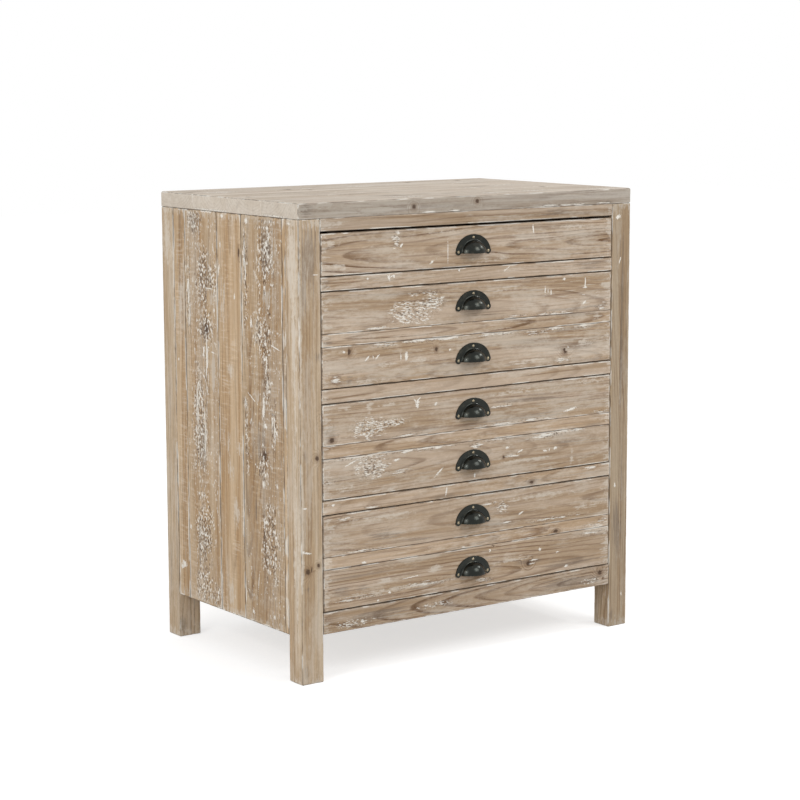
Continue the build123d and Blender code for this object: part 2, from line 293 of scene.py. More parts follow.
        shade = self.add(self.scale(self.fibre, -0.20, 0.20), self.scale(self.cloud, 0.88, 1.12))
        shade = self.add(shade, self.scale(self.specks, -0.13, 0.13))
        shade = self.add(shade, self.scale(self.mottle, -0.10, 0.10))
        if saw_marks:
            sawn = self.scale(self.saw, -saw_marks, saw_marks)
            shade = self.add(shade, self.mul(sawn, self.saw_where))
        return self.tinted(colour, shade)

    def limed(self, colour, wash, saw_marks):
        """A chalky wash in ragged patches, thicker at board ends and where marked.

        Returns the colour and how thick the film is.
        """
        patches = self.add(self.mul(self.thin, 0.45), self.mul(self.mottle, 0.35))
        patches = self.mul_add(self.specks, 0.20, patches)
        chalk = self.mul_add(self.wash_bias, 0.07, self.grained(150, 24, 4.0, 0.65))
        chalk = self.add(self.mul(chalk, 0.55), self.mul(patches, 0.45))
        chalk = self.step(chalk, 0.47, 0.60)
        at_end = self.fall(self.to_end, 4.0, 30.0)
        placed = self.max(self.mul(at_end, 0.75), self.film_mask)
        placed = self.ragged(placed, patches, 4.0, 0.35, 1.15, least=(0.02, 0.25),
                             within=self.max(at_end, self.film_mask))
        end_grain = self.fall(self.to_end, 0.2, 0.8)
        film = self.max(self.mul(chalk, wash), self.mul(placed, 0.72))
        film = self.max(film, self.mul(end_grain, 0.55))
        colour = self.mix(film, colour, LIME)

        streak = self.step(self.grained(64, 2.8, 4.0, 0.65), 0.58, 0.68)
        streak_where = self.step(self.grained(300, 45), 0.42, 0.60)
        colour = self.mix(self.mul(streak, self.mul(streak_where, 0.62)), colour, LIME)
        if saw_marks:
            sawn = self.mul(self.step(self.saw, 0.53, 0.60), self.mul(self.saw_where, saw_marks))
            sawn = self.mul(sawn, self.step(self.grained(40, 9, 3.0, 0.6), 0.40, 0.54))
            colour = self.mix(sawn, colour, LIME)
        # the board's tone, with the painted light and shade of single faces
        return self.tinted(colour, self.tone), film

    def knotted(self, colour, brown):
        """Knots and nail holes, a dark core in a brown halo. Returns the colour and the core."""
        ragged_spot = self.add(self.spot_distance, self.scale(self.specks, -0.9, 0.9))
        halo = self.mul(self.fall(self.knot_distance, 0.9, 2.6), 0.45)
        core = self.mul(self.fall(ragged_spot, 0.55, 1.15), self.is_knot)
        colour = self.mix(halo, colour, brown)
        return self.mix(self.mul(core, 0.88), colour, KNOT), core

    def painted(self, colour, flecks):
        """Old paint: chips, comb strokes, smears, crumbs and flecks.

        Returns the colour, where the paint is and where it is pitted.
        """
        crumbled = self.scale(self.grained(3.4, 1.7, 3.0, 0.7), -1.7, 1.7)
        crumbled = self.add(self.spot_distance, crumbled)
        paint = self.mul(self.fall(crumbled, 0.72, 1.0), self.is_chip)

        along, across, below = self.split(self.place)
        slanted = self.join(self.mul_add(across, COMB_SLANT, along), across, below)
        tooth = self.noise(slanted, (9.0, 1.7, 1.7), self.seed, 2.0, 0.55)
        tooth_where = self.ragged(self.comb_mask, self.mottle, 2.2, 0.30, 0.70, least=(0.05, 0.30))
        paint = self.max(paint, self.mul(self.step(tooth, 0.505, 0.555), tooth_where))

        smear = self.grained(26, 2.8, 4.0, 0.7)
        smear = self.step(self.mul_add(self.smear_mask, 0.24, smear), 0.66, 0.74)
        smear = self.mul(smear, self.step(self.smear_mask, 0.05, 0.35))
        paint = self.max(paint, smear)

        crumbs = self.grained(4.6, 2.9, 1.0, 0.5)
        crumb_where = self.ragged(self.rough_mask, self.mottle, 2.4, 0.2, 0.9)
        paint = self.max(paint, self.mul(self.step(crumbs, 0.54, 0.60), crumb_where))
        if flecks:
            fleck = self.grained(7.5, 3.0, 2.0, 0.6)
            fleck = self.mul_add(self.wash_bias, 0.07, fleck)
            fleck = self.step(fleck, 0.74 - flecks, 0.79 - flecks)
            gathered = self.step(self.grained(190, 30), 0.38, 0.52)
            paint = self.max(paint, self.mul(fleck, gathered))

        pits = self.max(self.max(self.comb_mask, self.smear_mask), crumb_where)
        pits = self.mul(pits, self.fall(crumbs, 0.39, 0.46), clamp=True)
        colour = self.mix(self.mul(pits, 0.7), colour, KNOT)
        return self.mix(self.mul(paint, 0.85), colour, PAINT), paint, pits

    def seamed(self, colour, pale):
        """Seams: pale rubbed wood with a painted highlight, paint caught here and there, and dirt
        in the joint.
        """
        edge = self.add(self.edge, self.scale(self.grained(22, 3, 3.0, 0.6), -1.6, 1.6))
        # a pale band along each edge: rubbed wood and a painted highlight
        colour = self.mix(self.mul(self.fall(edge, 1.2, 4.5), 0.32), colour, pale)
        caught = self.step(self.grained(60, 20, 3.0), 0.50, 0.57)
        caught = self.mul(caught, self.fall(edge, 1.3, 2.6))
        colour = self.mix(self.mul(caught, 0.72), colour, PAINT)
        deep = self.scale(self.step(self.grained(110, 20, 3.0), 0.48, 0.60), 0.9, 2.0)
        dirt = self.fall(self.math("DIVIDE", edge, deep), 0.0, 1.1)
        return self.mix(self.mul(dirt, 0.75), colour, SEAM)


def limed_pine(name, pale, tan, brown, wash, rings=0.7, flecks=0.0, saw_marks=0.0, coarse=1.0,
               plain_axis=None):
    """Reclaimed pine in three wood colours, with strengths of its wash, rings, flecks and saw."""
    t = Pine(name, plain_axis, coarse)
    colour = t.bare_wood(pale, tan, brown, rings, saw_marks)
    colour, film = t.limed(colour, wash, saw_marks)
    colour, core = t.knotted(colour, brown)
    colour, paint, pits = t.painted(colour, flecks)
    colour = t.seamed(colour, pale)
    height = t.mul_add(t.late_wood, 0.30, t.mul(t.fibre, 0.40))
    height = t.add(height, t.mul(t.saw, 0.10 + saw_marks))
    height = t.math("SUBTRACT", height, t.mul(t.max(core, pits), 0.8))
    height = t.add(height, t.mul(paint, 0.35))
    roughness = t.mul_add(film, 0.12, 0.74)
    return t.surface(colour, roughness, height, 0.7, 0.0009, {"Specular IOR Level": 0.25})


def aged_metal(name, deep, rubbed, roughness, wear, coat=0.0):
    """Cast metal with a dark finish, cloudy and rubbed in spots."""
    t = Tree(bpy.data.materials.new(name))
    place = t.object_place()
    cloud = t.noise(place, (9, 9, 9), 1.0, 3.0, 0.6)
    grit = t.noise(place, (0.8, 0.8, 0.8), 2.0)
    colour = t.mix(t.mul(t.step(cloud, 0.5, 0.72), wear), deep, rubbed)
    cloudy = t.scale(cloud, roughness - 0.08, roughness + 0.08)
    gloss = {"Metallic": 1.0, "Coat Weight": coat, "Coat Roughness": 0.12}
    return t.surface(colour, t.add(cloudy, t.scale(grit, -0.04, 0.04)), grit, 0.25, 0.0003, gloss)


PINE_FRONT = limed_pine("limed_front_pine", srgb(191, 171, 150), srgb(169, 144, 116),
                        srgb(106, 78, 53), wash=0.5, rings=0.8)
PINE_TOP = limed_pine("limed_top_pine", srgb(212, 201, 188), srgb(190, 174, 156),
                      srgb(128, 106, 85), wash=0.6, rings=0.6)
PINE_POST = limed_pine("limed_post_pine", srgb(196, 176, 150), srgb(176, 150, 119),
                       srgb(124, 97, 70), wash=0.42)
PINE_SIDE = limed_pine("limed_side_pine", srgb(202, 177, 146), srgb(178, 146, 109),
                       srgb(114, 84, 55), wash=0.38, flecks=0.10, saw_marks=0.32, coarse=1.25)
PINE_INNER = {
    axis: limed_pine(f"plain_pine_{axis}", srgb(214, 190, 152), srgb(200, 170, 128),
                     srgb(160, 120, 78), wash=0.12, plain_axis=axis)
    for axis in (X, Y)
}
PULL_METAL = aged_metal("dark_bronze", srgb(42, 44, 41), srgb(76, 73, 62), 0.24, 0.35, coat=0.12)
SCREW_METAL = aged_metal("rubbed_brass", srgb(138, 127, 106), srgb(184, 173, 148), 0.36, 0.8)

# ---------- how the boards are cut
EDGE_LINES = (0.0, 0.35, 0.9, 1.8, 3.2)  # grid lines beside an edge, in mm from it
EDGE_SHARE = 0.3                         # of a board's size that they keep within
BOARD_GRID, HIDDEN_GRID = 0.006, 0.03    # spacing of grid lines where a board shows, or doesn't
RIPPLE_SHARES = (1.0, 0.55, 0.3)         # pitches and heights of its waves
RIPPLE_OFFBEAT, RIPPLE_PEAK = 1.618, 1.4
WEAR_SLANT = np.array([1.0, 2.3, 1.7])   # wear changes along it, so that no two edges wear alike
WEAR_PITCH, CHIP_PITCH = 0.11, 0.045
CHIP_START, CHIP_DEPTH = 0.62, 0.0055    # how high the ripple has to be, and how deep it cuts
LEAST_EDGE, MOST_EDGE = 0.0003, 0.0032   # bounds of an edge's radius
STRETCH_FROM = 0.003                     # an edge rounder than this gets a wider grid and bounds
JOINED_EDGE = 0.35                       # of its radius stays where a board meets a neighbour
JOINED_CLEAN = 0.9                       # mm of dirt that such an edge is spared
PITH_SEED = 500
SEED_PITCH = 1.37                        # how far apart two boards' noises lie
FACE_SKIN = 0.3                          # mm under a face that takes the face's painted light and shade
MARK_SKIN = 5.0                          # mm under a face that has its marks


# ---------- worn boards
def ripple(place, seed, pitch):
    """A smooth random line from about -1 to 1 along a place in metres."""
    random = np.random.default_rng(seed)
    total = np.zeros_like(place)
    for share in RIPPLE_SHARES:
        phase = random.uniform(0, 2 * math.pi, 2)
        turn = 2 * math.pi * place / (pitch * share)
        offbeat = np.sin(turn * RIPPLE_OFFBEAT + phase[1])
        total += share * (np.sin(turn + phase[0]) + offbeat) / 2
    return total / RIPPLE_PEAK


def lattice_lines(low, high, step, stretch):
    """Grid lines across a board: close together at both edges, evenly spaced between."""
    rows = [line * stretch * MM for line in EDGE_LINES]
    rows = [row for row in rows if row < (high - low) * EDGE_SHARE]
    inner_low, inner_high = low + rows[-1], high - rows[-1]
    count = max(1, round((inner_high - inner_low) / step))
    middle = np.linspace(inner_low, inner_high, count + 1)[1:-1]
    return np.array([low + row for row in rows] + list(middle) + [high - row for row in rows[::-1]])


def box_surface(lines):
    """Corner points and quads of a box whose faces follow three sets of grid lines."""
    counts = [len(line) for line in lines]
    quads = []
    for axis in range(3):
        first, second = (axis + 1) % 3, (axis + 2) % 3
        rows, columns = np.arange(counts[first] - 1), np.arange(counts[second] - 1)
        a, b = np.meshgrid(rows, columns, indexing="ij")
        for end in (0, counts[axis] - 1):
            # the corners go round so that the face looks out of the box
            loop = ((0, 0), (1, 0), (1, 1), (0, 1)) if end else ((0, 0), (0, 1), (1, 1), (1, 0))
            corners = np.zeros((a.size, 4, 3), int)
            corners[:, :, axis] = end
            for corner, (da, db) in enumerate(loop):
                corners[:, corner, first] = (a + da).ravel()
                corners[:, corner, second] = (b + db).ravel()
            quads.append(corners)
    flat = np.concatenate(quads).reshape(-1, 3)
    unique, inverse = np.unique(flat, axis=0, return_inverse=True)
    points = np.stack([lines[axis][unique[:, axis]] for axis in range(3)], axis=1)
    return points, inverse.reshape(-1, 4)


class Mark:
    """Something on a face: its kind, place, half sizes in mm, and turn in degrees.

    side_place is along the floor, x on the front and y on the side; z is up.
    """

    def __init__(self, kind, side_place, z, half_wide, half_high, turn=0.0):
        self.kind, self.side_place, self.z = kind, side_place, z
        self.half_wide, self.half_high = half_wide, half_high
        self.turn = math.radians(turn)

    def local(self, side_places, heights):
        """Where points in mm are in the mark's own turned frame, in half sizes."""
        a, b = side_places - self.side_place, heights - self.z
        cos, sin = math.cos(self.turn), math.sin(self.turn)
        return (a * cos + b * sin) / self.half_wide, (b * cos - a * sin) / self.half_high


def marks(kind, *places):
    """Marks of one kind: each place is side_place, z, half_wide, half_high and maybe a turn."""
    return [Mark(kind, *place) for place in places]


# kind, number, and longest and widest half size in mm
SCATTERED_KINDS = (("knot", 7, 7, 6), ("chip", 34, 9, 2.2), ("smear", 12, 60, 14),
                   ("film", 16, 40, 16), ("grey", 10, 50, 12), ("comb", 3, 40, 22))


def scattered(seed, side_span, z_span, upright):
    """Seeded knots, chips and soft marks for a face that the photograph doesn't show."""
    random = np.random.default_rng(seed)
    found = []
    for kind, count, longest, widest in SCATTERED_KINDS:
        for _ in range(count):
            place, z = random.uniform(*side_span), random.uniform(*z_span)
            length, width = longest * random.uniform(0.4, 1), widest * random.uniform(0.5, 1)
            half_wide, half_high = (width, length) if upright else (length, width)
            turn = random.uniform(-35, 35) if kind == "chip" else 0
            found.append(Mark(kind, place, z, half_wide, half_high, turn))
    return found


# what the photograph shows on the front, from the top down
FRONT_MARKS = [
    # slab and top rail
    *marks("knot", (-140, 883, 5, 5), (9, 888, 4.5, 4.5)),
    *marks("smear", (-44, 872, 18, 3), (-103, 872, 20, 2.5), (186, 872, 30, 3), (250, 872, 34, 3),
           (330, 872, 20, 3)),
    *marks("grey", (-382, 886, 14, 14), (205, 860, 40, 5), (40, 893, 60, 3)),
    *marks("film", (-345, 893, 30, 7), (-230, 880, 60, 8), (-330, 858, 30, 7)),
    # drawer 1 and the rail under it
    *marks("comb", (-181, 824, 8, 17)),
    *marks("chip", (-169, 812, 5, 2.6, 50), (-98, 777, 5, 2.6, 30), (-60, 795, 0.8, 22),
           (148, 829, 1.8, 9, 8), (-198, 753, 2, 6, 25), (-186, 755, 2, 5, -20),
           (-246, 754, 2.6, 2), (-33, 758, 2.4, 2.4), (80, 754, 7, 1.5, 50), (88, 757, 4, 0.9, 50)),
    *marks("film", (-318, 780, 26, 8), (-326, 823, 18, 8), (-60, 832, 60, 4), (40, 776, 70, 4),
           (250, 828, 50, 5)),
    *marks("grey", (-342, 751, 14, 8), (300, 750, 40, 6)),
    # drawer 2
    *marks("comb", (-144, 684, 50, 21), (-92, 700, 26, 12), (-112, 720, 36, 4)),
    *marks("chip", (227, 726, 4, 2.6, 20), (282, 717, 1.5, 11), (282, 706, 6, 1.4),
           (179, 707, 1.5, 7), (194, 701, 1.5, 5), (280, 676, 7, 2.2, 35), (-158, 602, 3.6, 9),
           (-171, 603, 1.5, 7), (-248, 605, 7, 1.9, 45), (-225, 606, 6, 1.6, 40),
           (-301, 621, 4, 2.4, -20), (236, 591, 6, 2, -30), (-55, 607, 3, 2)),
    *marks("film", (335, 708, 14, 9), (277, 674, 16, 6), (85, 715, 46, 5), (325, 690, 20, 6),
           (315, 646, 16, 8), (184, 607, 12, 11), (280, 597, 26, 7), (128, 568, 60, 5),
           (-205, 590, 24, 6), (-130, 593, 34, 6), (-230, 563, 60, 5)),
    *marks("smear", (-225, 660, 26, 3), (206, 659, 44, 2.5), (322, 663, 22, 4), (110, 660, 40, 2),
           (-208, 627, 30, 5), (-120, 629, 50, 4), (-55, 629, 26, 3), (160, 625, 36, 6),
           (212, 629, 24, 3), (279, 628, 28, 4), (225, 564, 24, 6), (-320, 572, 16, 7),
           (60, 628, 50, 4)),
    *marks("grey", (-238, 664, 40, 4), (250, 663, 70, 4), (20, 663, 60, 3), (-338, 642, 16, 6),
           (237, 624, 40, 3), (-100, 631, 60, 2), (-289, 567, 5, 9), (-63, 560, 14, 4),
           (250, 590, 60, 7)),
    *marks("knot", (231, 583, 6, 7), (-290, 620, 5, 6), (-88, 610, 3.6, 4.4)),
    # drawer 3 and the rail under it
    *marks("comb", (-243, 472, 40, 20), (-190, 478, 34, 7), (-238, 399, 36, 22)),
    *marks("knot", (-329, 458, 6, 5), (76, 384, 2.6, 2.8), (147, 326, 5, 3.6)),
    *marks("chip", (-133, 506, 4, 6), (-130, 517, 7, 1.3, 35), (-138, 516, 5, 1.2, -40),
           (-89, 505, 4, 2.4, 40), (245, 463, 17, 2.4, 10), (-285, 411, 16, 1.5, 22),
           (-182, 406, 8, 2.3, 10), (-81, 372, 14, 1.9, 40), (86, 402, 5, 2.8), (207, 389, 5, 3.4),
           (181, 386, 5, 1.8), (5, 356, 2.4, 4), (118, 392, 7, 1.5, 20), (-64, 332, 2, 9, -12),
           (-327, 335, 4, 2.4)),
    *marks("film", (-301, 518, 26, 5), (-194, 515, 30, 4), (-245, 511, 8, 12), (120, 510, 90, 6),
           (300, 515, 40, 6), (-193, 351, 64, 4), (250, 366, 6, 15), (140, 372, 70, 5),
           (-300, 365, 30, 8)),
    *marks("smear", (-158, 451, 34, 3), (70, 487, 30, 2.5), (159, 452, 44, 4), (320, 452, 26, 4),
           (60, 450, 50, 2.5), (-335, 489, 14, 3), (-270, 421, 80, 2.2), (-110, 421, 86, 2.4),
           (-175, 382, 28, 4), (-334, 380, 18, 3), (175, 416, 42, 6), (61, 420, 30, 4),
           (9, 414, 18, 6), (100, 386, 24, 4), (240, 421, 50, 3), (-240, 322, 24, 3),
           (300, 341, 26, 2)),
    *marks("grey", (-334, 467, 18, 14), (-158, 455, 62, 5), (150, 491, 110, 2.5),
           (100, 460, 120, 6), (316, 444, 30, 3), (317, 426, 26, 3), (111, 419, 56, 4),
           (230, 400, 70, 7), (147, 327, 18, 6), (-70, 322, 30, 3)),
    # drawer 4 and the bottom rail
    *marks("film", (-333, 291, 14, 12), (-215, 300, 80, 6), (180, 296, 100, 6), (300, 262, 40, 7),
           (-208, 176, 16, 9), (-92, 183, 16, 9), (-190, 156, 130, 4), (100, 175, 60, 5)),
    *marks("smear", (-302, 307, 20, 4), (-266, 240, 54, 2.4), (86, 254, 20, 3), (205, 246, 70, 2.4),
           (40, 296, 30, 4), (312, 219, 36, 4), (330, 230, 20, 3), (152, 166, 16, 5),
           (-270, 151, 70, 3.4), (-110, 158, 76, 3.6), (27, 145, 26, 5), (310, 206, 40, 4)),
    *marks("grey", (-215, 266, 44, 10), (-150, 246, 70, 4), (60, 250, 50, 4), (140, 165, 40, 5),
           (-128, 150, 26, 2), (-308, 169, 22, 8), (-263, 170, 14, 6), (250, 150, 80, 8),
           (-230, 112, 70, 9), (250, 108, 90, 9)),
    *marks("comb", (74, 285, 15, 11), (303, 104, 24, 5), (-284, 104, 44, 6), (-90, 112, 40, 5)),
    *marks("chip", (120, 267, 7, 2, 25), (-258, 217, 5, 2.6), (-23, 216, 5, 2), (169, 187, 4, 3),
           (214, 176, 3.4, 2), (237, 144, 5, 2.6), (43, 202, 3, 4), (-147, 174, 20, 1.1, 3),
           (-226, 139, 3, 1.8), (-199, 151, 4, 2)),
    *marks("knot", (210, 219, 6, 3.6), (140, 162, 6, 4.6), (50, 209, 3, 2.4), (327, 118, 6, 4.6)),
    # posts
    *marks("chip", (367, 843, 7, 4.2, 20), (373, 756, 1.5, 8, -20), (365, 296, 2, 6),
           (385, 66, 1.6, 5), (-362, 768, 7, 1), (-390, 336, 5, 1.8), (-384, 251, 7, 1.8, -10),
           (-394, 254, 3, 3)),
    *marks("knot", (-362, 428, 4, 5.4), (-361, 225, 3.6, 4), (-385, 216, 5.5, 6)),
    *marks("grey", (-357, 616, 6, 9), (-389, 433, 4, 14), (-386, 182, 6, 5), (-390, 22, 8, 20),
           (357, 20, 5, 18), (372, 200, 10, 60), (-390, 760, 8, 80), (379, 640, 5, 160),
           (381, 380, 4, 100), (-374, 800, 16, 60)),
    *marks("film", (-396, 650, 4, 190), (-396, 300, 4, 150)),
    *marks("smear", (-357, 500, 3, 30)),
]

# the left side, with its y for the side place
LEFT_MARKS = [
    # slab edge
    *marks("film", (-190, 886, 60, 9), (-60, 884, 50, 8), (150, 886, 60, 8)),
    *marks("smear", (60, 872, 100, 2), (-160, 872, 50, 2)),
    # rear board and the rough one beside it
    *marks("chip", (169, 756, 3.4, 4), (203, 570, 2.4, 2.8), (167, 236, 3.4, 5),
           (196, 155, 12, 7, -15), (203, 149, 5, 6), (38, 808, 1.8, 6), (84, 720, 16, 1.1),
           (105, 598, 3.4, 10), (70, 596, 8, 1.4, 8)),
    *marks("rough", (136, 851, 26, 26), (104, 742, 26, 60), (66, 738, 18, 26), (94, 645, 30, 34),
           (125, 455, 26, 100), (112, 238, 34, 66), (116, 124, 34, 36), (60, 110, 16, 24)),
    *marks("smear", (48, 762, 7, 26), (130, 480, 8, 60), (104, 440, 8, 70), (160, 700, 6, 80),
           (94, 570, 8, 60)),
    *marks("grey", (136, 845, 22, 26), (100, 735, 24, 60), (98, 640, 22, 24), (120, 400, 20, 60),
           (120, 220, 24, 50)),
    *marks("knot", (94, 640, 8, 11)),
    *marks("film", (66, 700, 22, 24), (190, 700, 10, 60), (70, 560, 14, 60)),
    # middle board
    *marks("knot", (-30, 796, 3.2, 9)),
    *marks("chip", (30, 863, 5, 4), (-12, 712, 2.6, 6)),
    *marks("film", (5, 567, 13, 22), (18, 424, 8, 22), (-23, 419, 9, 9), (10, 374, 10, 24),
           (-10, 293, 12, 28), (13, 130, 14, 26), (30, 700, 7, 70)),
    # front board with the saw marks
    *marks("chip", (-58, 858, 5, 6), (-71, 668, 3.6, 11), (-101, 771, 1.8, 9),
           (-111, 503, 4.2, 32, 4), (-117, 476, 6, 5), (-154, 628, 20, 1.4, 14),
           (-156, 366, 2.8, 5), (-87, 171, 1.2, 20, 8), (-99, 235, 1.8, 6), (-67, 109, 5, 4),
           (-142, 112, 3.4, 5), (-72, 524, 16, 1.2, 30)),
    *marks("smear", (-130, 860, 34, 4), (-120, 850, 30, 5), (-50, 780, 5, 60), (-147, 475, 9, 40),
           (-125, 566, 6, 42), (-109, 364, 10, 9), (-36, 269, 4, 40)),
    *marks("rough", (-125, 790, 34, 60), (-112, 655, 30, 50), (-108, 400, 22, 26),
           (-52, 760, 8, 110), (-150, 470, 12, 50), (-125, 572, 12, 50), (-130, 250, 30, 80),
           (-52, 440, 8, 80)),
    *marks("comb", (-44, 510, 8, 12)),
    *marks("knot", (-113, 419, 8, 9)),
    *marks("film", (-92, 655, 18, 34), (-94, 531, 14, 14), (-75, 137, 16, 10), (-150, 800, 20, 50),
           (-130, 720, 26, 20)),
    *marks("grey", (-83, 308, 5, 20), (-125, 800, 20, 44), (-100, 440, 20, 30), (-55, 800, 8, 40)),
    # front post's side
    *marks("film", (-222, 640, 9, 200), (-222, 250, 9, 180), (-212, 800, 20, 66),
           (240, 800, 18, 70)),
    *marks("smear", (-205, 862, 12, 6), (-197, 612, 3, 12)),
]

MARKS = {
    FRONT: FRONT_MARKS,
    LEFT: LEFT_MARKS,
    RIGHT: scattered(7, (-230, 250), (20, 890), upright=True),
    BACK: scattered(8, (-390, 390), (20, 890), upright=True),
    TOP: scattered(9, (-390, 390), (-230, 250), upright=False),
}
SOFT_KINDS = ("comb", "smear", "film", "rough", "grey")


class Board:
    """One worn board: its box, the axis its grain follows, the face that shows, and its look.

    tone makes it paler or darker, and its face tones make single faces paler or darker as painted
    light and shade; wash is how chalky it is; pith is where the middle of its rings lies, across
    and under in mm and its slope; joined are the sides that meet a neighbour and stay crisp; seam
    is how wide its dirty edges are, with their pale band of rubbed wood and painted highlight.
    """

    def __init__(self, low, high, grain, face, seed, tone=1.0, wash=0.0, pith=None,
                 step=BOARD_GRID, round_edge=0.0012, wear=0.6, joined=(), seam=1.0, rings=1.0,
                 face_painted_shading=()):
        self.low, self.high = np.array(low, float), np.array(high, float)
        self.grain, self.face = grain, face
        self.seed, self.tone, self.wash = seed, tone, wash
        random = np.random.default_rng(seed + PITH_SEED)
        self.pith = pith or (random.uniform(-50, 50), random.uniform(10, 40),
                             random.uniform(-0.09, 0.09))
        self.step, self.round_edge, self.wear = step, round_edge, wear
        self.joined, self.seam, self.rings = joined, seam, rings
        self.face_painted_shading = dict(face_painted_shading)

    def mesh(self):
        """Points, quads and attributes: edges are rounded and worn, never past the box."""
        low, high = self.low, self.high
        stretch = max(1.0, self.round_edge / STRETCH_FROM)
        lines = [lattice_lines(low[axis], high[axis], self.step, stretch) for axis in range(3)]
        points, quads = box_surface(lines)
        travel = points @ WEAR_SLANT
        radius = self.round_edge * (1 + self.wear * 0.5 * ripple(travel, self.seed, WEAR_PITCH))
        chips = np.clip(ripple(travel, self.seed + 1, CHIP_PITCH) - CHIP_START, 0, 1)
        radius = radius + chips * CHIP_DEPTH * self.wear
        radius = np.clip(radius, LEAST_EDGE, MOST_EDGE * stretch)
        radius = np.repeat(radius[:, None], 3, axis=1)
        for axis, sign in self.joined:
            middle = (low[axis] + high[axis]) / 2
            this_side = (points[:, axis] - middle) * sign > 0
            radius[this_side, axis] *= JOINED_EDGE / stretch
        inner = np.clip(points, low + radius, high - radius)
        offset = (points - inner) / radius
        length = np.linalg.norm(offset, axis=1, keepdims=True)
        at_edge = (np.abs(offset) > 1e-6).sum(axis=1) >= 2
        moved = inner + offset / np.maximum(length, 1e-9) * radius
        return np.where(at_edge[:, None], moved, points), quads, self.attributes(points)

    def attributes(self, points):
        """Grain coordinates in mm, and the board's looks and marks, for every point."""
        count = len(points)
        show_axis, show_side = self.face
        across_axis = 3 - self.grain - show_axis
        centre = (self.low + self.high) / 2
        shown = self.high[show_axis] if show_side > 0 else self.low[show_axis]
        along = (points[:, self.grain] - centre[self.grain]) / MM
        across = (points[:, across_axis] - centre[across_axis]) / MM
        below = (shown - points[:, show_axis]) * show_side / MM

        to_low, to_high = (points - self.low) / MM, (self.high - points) / MM
        for axis, side in self.joined:
            (to_low if side < 0 else to_high)[:, axis] += JOINED_CLEAN
        nearest = np.minimum(to_low, to_high)
        # on a face the nearest distance is nought, so the next one is the way to the face's edge
        edge = np.sort(nearest, axis=1)[:, 1]
        tones_and_face_shading = np.full(count, self.tone)
        # painted light and shade: single faces made paler or darker than the rest of the board
        for (axis, side), factor in self.face_painted_shading.items():
            depth = to_high[:, axis] if side > 0 else to_low[:, axis]
            tones_and_face_shading *= np.where(depth < FACE_SKIN, factor, 1.0)

        masks, spot = self.marked(points, to_low, to_high)
        rows = {
            "grain": (along, across, below),
            "look": (np.full(count, self.seed * SEED_PITCH), tones_and_face_shading, np.full(count, self.wash)),
            "pith": [np.full(count, value) for value in self.pith],
            "soft": (masks["comb"], masks["smear"], masks["film"]),
            "grime": (masks["rough"], masks["grey"], np.full(count, self.rings)),
            "rim": (nearest[:, self.grain], edge / self.seam, np.zeros(count)),
            "spot": spot,
        }
        return {name: np.stack(values, axis=1) for name, values in rows.items()}

    def marked(self, points, to_low, to_high):
        """The soft marks' masks, and the nearest spot: its u and v in half sizes and its kind."""
        low, high = self.low / MM, self.high / MM
        masks = {kind: np.zeros(len(points)) for kind in SOFT_KINDS}
        spot_u, spot_v = np.full(len(points), FAR), np.full(len(points), FAR)
        spot_kind = np.zeros(len(points))
        spot_reach = np.full(len(points), np.inf)
        for (axis, side), face_marks in MARKS.items():
            side_axis, up_axis = {X: (Y, Z), Y: (X, Z), Z: (X, Y)}[axis]
            on_face = (to_high if side > 0 else to_low)[:, axis] < MARK_SKIN
            side_places, heights = points[:, side_axis] / MM, points[:, up_axis] / MM
            for mark in face_marks:
                if not (low[side_axis] <= mark.side_place <= high[side_axis]
                        and low[up_axis] <= mark.z <= high[up_axis]):
                    continue
                u, v = mark.local(side_places, heights)
                if mark.kind in masks:
                    masks[mark.kind] += np.where(on_face, np.exp(-(u * u + v * v) ** 1.5), 0)
                    continue
                reach = np.hypot(side_places - mark.side_place, heights - mark.z)
                size = max(mark.half_wide, mark.half_high)
                limit = size * 4 if mark.kind == "knot" else size + 10
                chosen = on_face & (reach < limit) & (reach < spot_reach)
                spot_u[chosen], spot_v[chosen] = u[chosen], v[chosen]
                spot_kind[chosen] = SPOT_KINDS[mark.kind]
                spot_reach[chosen] = reach[chosen]
        return masks, (spot_u, spot_v, spot_kind)


def board_object(name, boards, material, body, nodes):
    """One piece made of worn boards, which stands for CAD nodes and rides on their body."""
    points, quads, attributes, start = [], [], {}, 0
    for board in boards:
        made, faces, values = board.mesh()
        points.append(made)
        quads.append(faces + start)
        start += len(made)
        for key, value in values.items():
            attributes.setdefault(key, []).append(value)
    mesh = bpy.data.meshes.new(name)
    mesh.from_pydata(np.concatenate(points).tolist(), [], np.concatenate(quads).tolist())
    for key, values in attributes.items():
        layer = mesh.attributes.new(key, "FLOAT_VECTOR", "POINT")
        layer.data.foreach_set("vector", np.concatenate(values).astype(np.float32).ravel())
    mesh.polygons.foreach_set("use_smooth", [True] * len(mesh.polygons))
    mesh.materials.append(material)
    mesh.update()
    piece = bpy.data.objects.new(name, mesh)
    bpy.context.scene.collection.objects.link(piece)
    weighted = piece.modifiers.new("flat faces", "WEIGHTED_NORMAL")
    weighted.keep_sharp = True
    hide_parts(*nodes)
    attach(piece, body)


# ---------- top
TOP_TONES = (0.96, 1.0, 1.03, 1.0)
low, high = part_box("top_boards")
top_boards = []
front_edge = low.y
for number, tone in enumerate(TOP_TONES):
    last = number == len(TOP_TONES) - 1
    rear_edge = high.y if last else front_edge + TOP_BOARD
    meets = {(Y, -1): number > 0, (Y, 1): not last, (Z, -1): True}
    top_boards.append(Board(
        (low.x, front_edge, low.z), (high.x, rear_edge, high.z), X, TOP, 11 + number, tone,
        round_edge=0.0048, wear=0.25, joined=[side for side, met in meets.items() if met],
        # painted light and shade: the slab's front face much darker than its top
        face_painted_shading={FRONT: 0.71, LEFT: 1.01, RIGHT: 1.0},
    ))
    front_edge = rear_edge
board_object("top", top_boards, PINE_TOP, "carcass", ["top_boards"])
